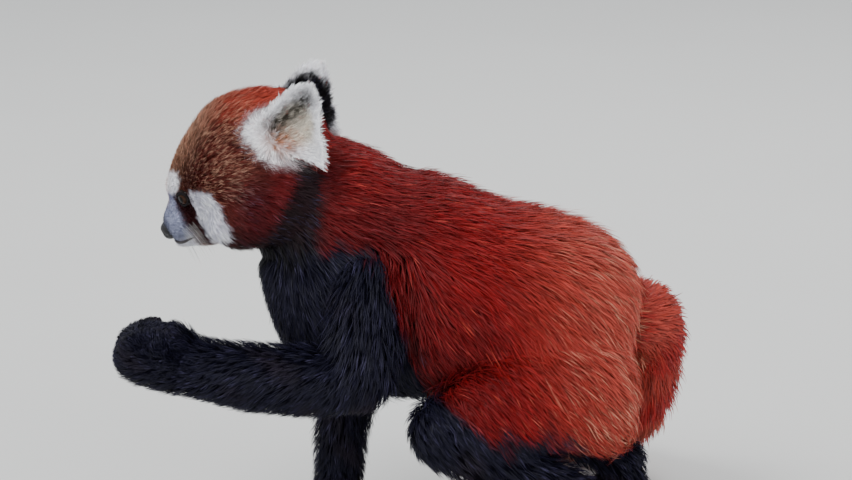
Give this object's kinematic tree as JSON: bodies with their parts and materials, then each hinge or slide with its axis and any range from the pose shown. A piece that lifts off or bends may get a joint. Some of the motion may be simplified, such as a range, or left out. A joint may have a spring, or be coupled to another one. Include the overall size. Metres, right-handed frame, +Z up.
{
  "type": "red panda, still life-size model",
  "caption": "Still, life-size red panda standing in a crouch, its left forepaw lifted as a fist and its ringed tail curled down to the floor.",
  "frame": {"origin": "middle of the model's bounding box, on the floor under the feet", "axes": "-Y towards the nose, +X to the animal's left, +Z up"},
  "size_m": [0.4034, 0.4564, 0.3737],
  "materials": {
    "fur_red": "long soft fur",
    "fur_orange": "short soft fur",
    "fur_black": "soft fur with a sheen",
    "fur_white": "soft fur",
    "fur_buff": "long soft fur",
    "eye": "wet gloss",
    "nose": "fine grain, damp",
    "claw": "satin horn"
  },
  "bodies": {
    "root": {"ear_left": "fur_white", "ear_right": "fur_white", "eye_left": "eye", "eye_right": "eye", "foot_left": "fur_black", "foot_right": "fur_black", "forearm_left": "fur_black", "forearm_right": "fur_black", "head": "fur_orange", "jaw": "fur_white", "neck": "fur_red", "nose": "nose", "paw_left": "fur_black", "paw_right": "fur_black", "shank_left": "fur_black", "shank_right": "fur_black", "tail_01": "fur_red", "tail_02": "fur_buff", "tail_03": "fur_red", "tail_04": "fur_buff", "tail_05": "fur_red", "tail_06": "fur_buff", "tail_07": "fur_red", "tail_08": "fur_buff", "tail_09": "fur_red", "tail_10": "fur_buff", "tail_11": "fur_red", "tail_12": "fur_black", "thigh_left": "fur_red", "thigh_right": "fur_red", "torso": "fur_red", "upper_arm_left": "fur_black", "upper_arm_right": "fur_black"}
  },
  "joints": []
}
